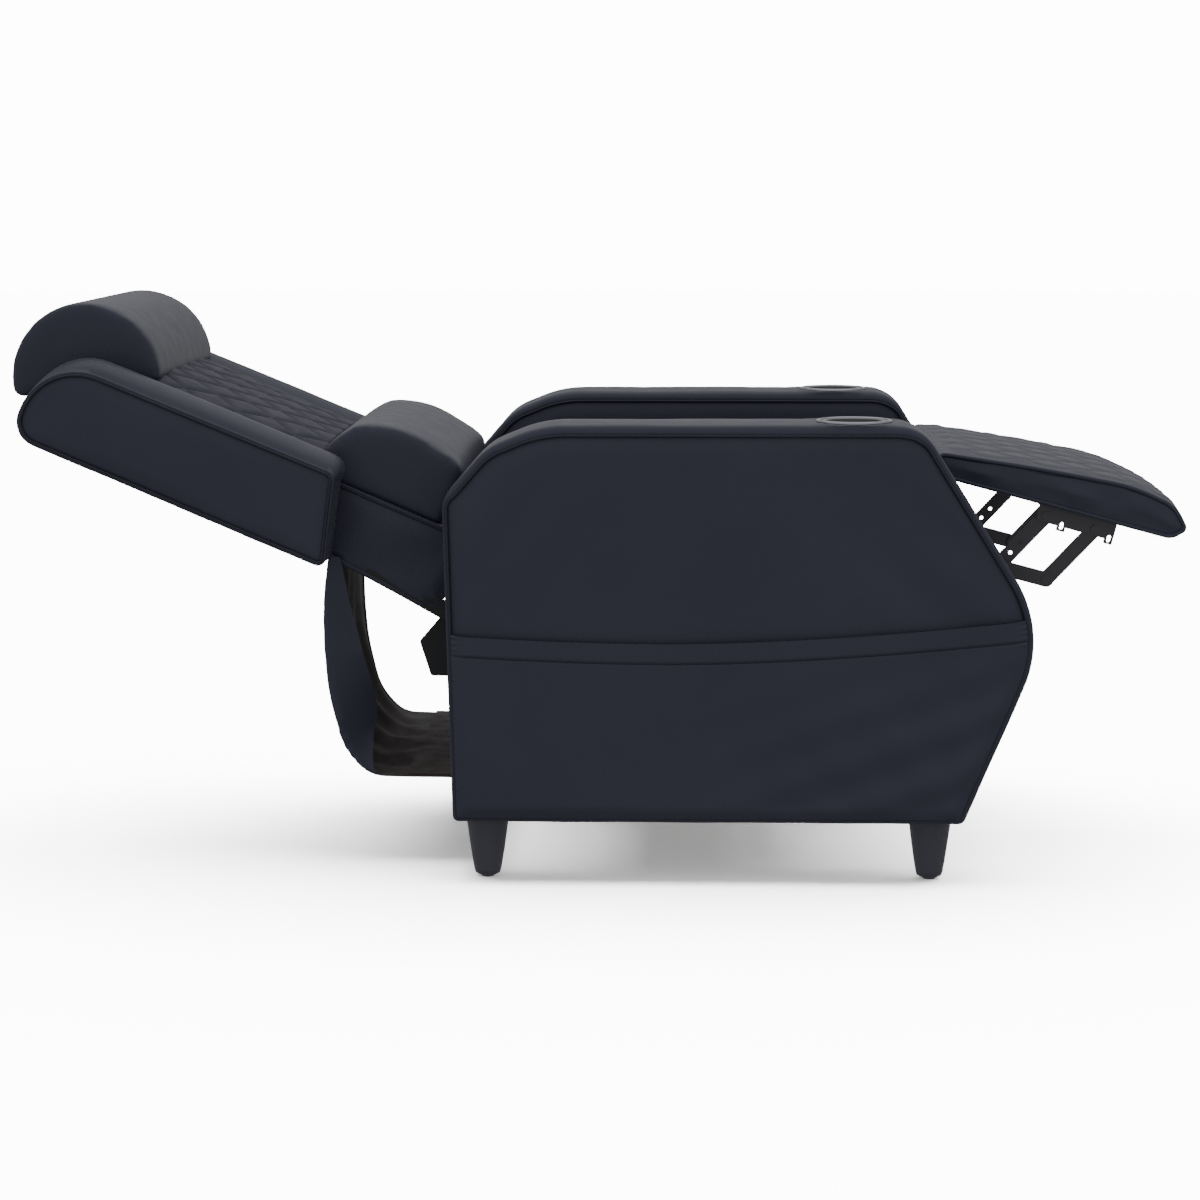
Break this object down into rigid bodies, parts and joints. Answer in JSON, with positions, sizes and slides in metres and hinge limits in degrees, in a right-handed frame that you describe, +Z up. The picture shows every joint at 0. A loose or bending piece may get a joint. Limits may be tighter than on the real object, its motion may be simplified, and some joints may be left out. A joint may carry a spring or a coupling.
{
  "type": "gaming sofa",
  "caption": "Push-back reclining gaming sofa: padded arms with cup holders and side pockets, winged back with headrest and lumbar pillows, footrest on a steel linkage.",
  "frame": {"origin": "middle of the footprint on the floor, in the reclined pose with the footrest out", "axes": "+X to the front (footrest), +Y to the sitter's left, +Z up"},
  "size_m": [1.5532, 0.7486, 0.748],
  "materials": {
    "navy_leather": "satin",
    "brown_black_lining": "matte",
    "frame_timber": "matte",
    "dark_steel": "satin",
    "seat_webbing": "matte",
    "black_plastic": "gloss",
    "bright_trim": "polished",
    "dark_leg_finish": "satin"
  },
  "bodies": {
    "base": {"right_arm_border": "navy_leather", "left_arm_border": "navy_leather", "right_arm_core": "frame_timber", "left_arm_core": "frame_timber", "right_arm_inner_panel": "navy_leather", "left_arm_inner_panel": "navy_leather", "right_arm_outer_panel": "navy_leather", "left_arm_outer_panel": "navy_leather", "right_side_pocket": "navy_leather", "left_side_pocket": "navy_leather", "right_cup_holder": "black_plastic", "left_cup_holder": "black_plastic", "right_cup_trim_ring": "bright_trim", "left_cup_trim_ring": "bright_trim", "right_front_leg": "dark_leg_finish", "left_front_leg": "dark_leg_finish", "right_rear_leg": "dark_leg_finish", "left_rear_leg": "dark_leg_finish", "right_guide_channel": "dark_steel", "left_guide_channel": "dark_steel", "front_rail": "frame_timber", "rear_rail": "frame_timber", "rear_drape": "brown_black_lining"},
    "seat_carriage": {"right_side_plate": "dark_steel", "left_side_plate": "dark_steel", "rear_cross_tube": "dark_steel", "front_cross_tube": "dark_steel", "seat_frame": "frame_timber", "seat_webbing": "seat_webbing", "seat_cushion": "navy_leather"},
    "back": {"right_back_bracket": "dark_steel", "left_back_bracket": "dark_steel", "right_wing": "navy_leather", "left_wing": "navy_leather", "back_frame": "frame_timber", "back_core": "navy_leather", "back_rear_panel": "navy_leather", "headrest_pillow": "navy_leather", "lumbar_pillow": "navy_leather", "quilted_panel": "navy_leather"},
    "long_links": {"right_long_link": "dark_steel", "left_long_link": "dark_steel", "footrest_cross_tube": "dark_steel"},
    "control_links": {"right_control_link": "dark_steel", "left_control_link": "dark_steel"},
    "rear_risers": {"right_rear_riser": "dark_steel", "left_rear_riser": "dark_steel"},
    "front_risers": {"right_front_riser": "dark_steel", "left_front_riser": "dark_steel"},
    "footrest": {"right_footrest_bracket": "dark_steel", "left_footrest_bracket": "dark_steel", "footrest_board": "frame_timber", "footrest_cushion": "navy_leather"}
  },
  "joints": [
    {"name": "seat_glide", "type": "slide", "parent": "base", "child": "seat_carriage", "axis": [1, 0, 0], "range_m": [-0.045, 0]},
    {"name": "back_recline", "type": "hinge", "parent": "seat_carriage", "child": "back", "pos_m": [-0.19812, 0, 0.342], "axis": [0, 1, 0], "range_deg": [0, 50], "deforming": ["rear_drape"]},
    {"name": "footrest_open", "type": "hinge", "parent": "seat_carriage", "child": "long_links", "pos_m": [0.36188, 0, 0.39], "axis": [0, 1, 0], "range_deg": [0, 78]},
    {"name": "control_link_turn", "type": "hinge", "parent": "seat_carriage", "child": "control_links", "pos_m": [0.32078, 0, 0.3463], "axis": [0, 1, 0], "range_deg": [0, 78]},
    {"name": "rear_riser_turn", "type": "hinge", "parent": "long_links", "child": "rear_risers", "pos_m": [0.53158, 0, 0.4027], "axis": [0, 1, 0], "range_deg": [-78, 0]},
    {"name": "front_riser_turn", "type": "hinge", "parent": "long_links", "child": "front_risers", "pos_m": [0.59658, 0, 0.3853], "axis": [0, 1, 0], "range_deg": [-78, 0]},
    {"name": "footrest_tilt", "type": "hinge", "parent": "front_risers", "child": "footrest", "pos_m": [0.65988, 0, 0.4526], "axis": [0, 1, 0], "range_deg": [0, 78]}
  ],
  "couplings": [
    {"joint": "seat_glide", "follows": "back_recline", "m_per_rad": -0.05156},
    {"joint": "control_link_turn", "follows": "footrest_open", "ratio": 1},
    {"joint": "rear_riser_turn", "follows": "footrest_open", "ratio": -1},
    {"joint": "front_riser_turn", "follows": "footrest_open", "ratio": -1},
    {"joint": "footrest_tilt", "follows": "footrest_open", "ratio": 1}
  ]
}
